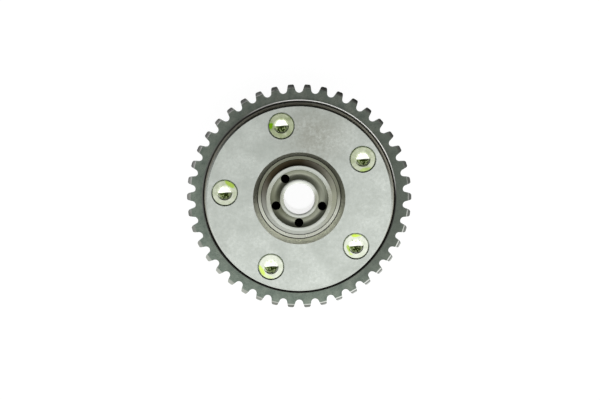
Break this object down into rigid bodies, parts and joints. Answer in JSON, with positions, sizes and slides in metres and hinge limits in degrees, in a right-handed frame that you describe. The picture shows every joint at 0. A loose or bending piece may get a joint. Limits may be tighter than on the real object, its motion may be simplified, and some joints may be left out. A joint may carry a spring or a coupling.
{
  "type": "camshaft phaser",
  "caption": "Vane camshaft phaser: a chain wheel housing between two cover plates, with a turning rotor, sprung blades and a locking pin.",
  "frame": {"origin": "centre of the rear face of the rear plate, on the camshaft axis", "axes": "+Z along the camshaft axis towards the front face, +Y towards the top of the picture, +X towards its right"},
  "size_m": [0.1104, 0.1102, 0.0383],
  "materials": {
    "sintered_steel": "dark steam treated sintered steel, matt",
    "ground_steel": "finely ground, satin",
    "turned_steel": "fine turned, satin",
    "hardened_steel": "ground and hardened",
    "spring_steel": "plain spring steel",
    "zinc_plate": "yellow zinc plated, bright"
  },
  "bodies": {
    "stator": {"sprocket_housing": "sintered_steel", "front_plate": "ground_steel", "rear_plate": "ground_steel", "lock_bush": "hardened_steel", "cover_bolt_1": "zinc_plate", "cover_bolt_2": "zinc_plate", "cover_bolt_3": "zinc_plate", "cover_bolt_4": "zinc_plate", "cover_bolt_5": "zinc_plate"},
    "rotor": {"rotor": "turned_steel", "camshaft_dowel": "hardened_steel", "vane_1": "hardened_steel", "vane_2": "hardened_steel", "vane_3": "hardened_steel", "vane_4": "hardened_steel", "vane_5": "hardened_steel", "vane_spring_1": "spring_steel", "vane_spring_2": "spring_steel", "vane_spring_3": "spring_steel", "vane_spring_4": "spring_steel", "vane_spring_5": "spring_steel", "lock_spring": "spring_steel", "lock_spring_retainer": "hardened_steel"},
    "locking_pin": {"locking_pin": "hardened_steel"}
  },
  "joints": [
    {"name": "rotor_turn", "type": "hinge", "parent": "stator", "child": "rotor", "pos_m": [0, 0, 0.0193], "axis": [0, 0, 1], "range_deg": [0, 30]},
    {"name": "locking_pin_slide", "type": "slide", "parent": "rotor", "child": "locking_pin", "axis": [0, 0, 1], "range_m": [0, 0.003], "stiffness_N_per_m": 400, "deforming": ["lock_spring"]}
  ]
}
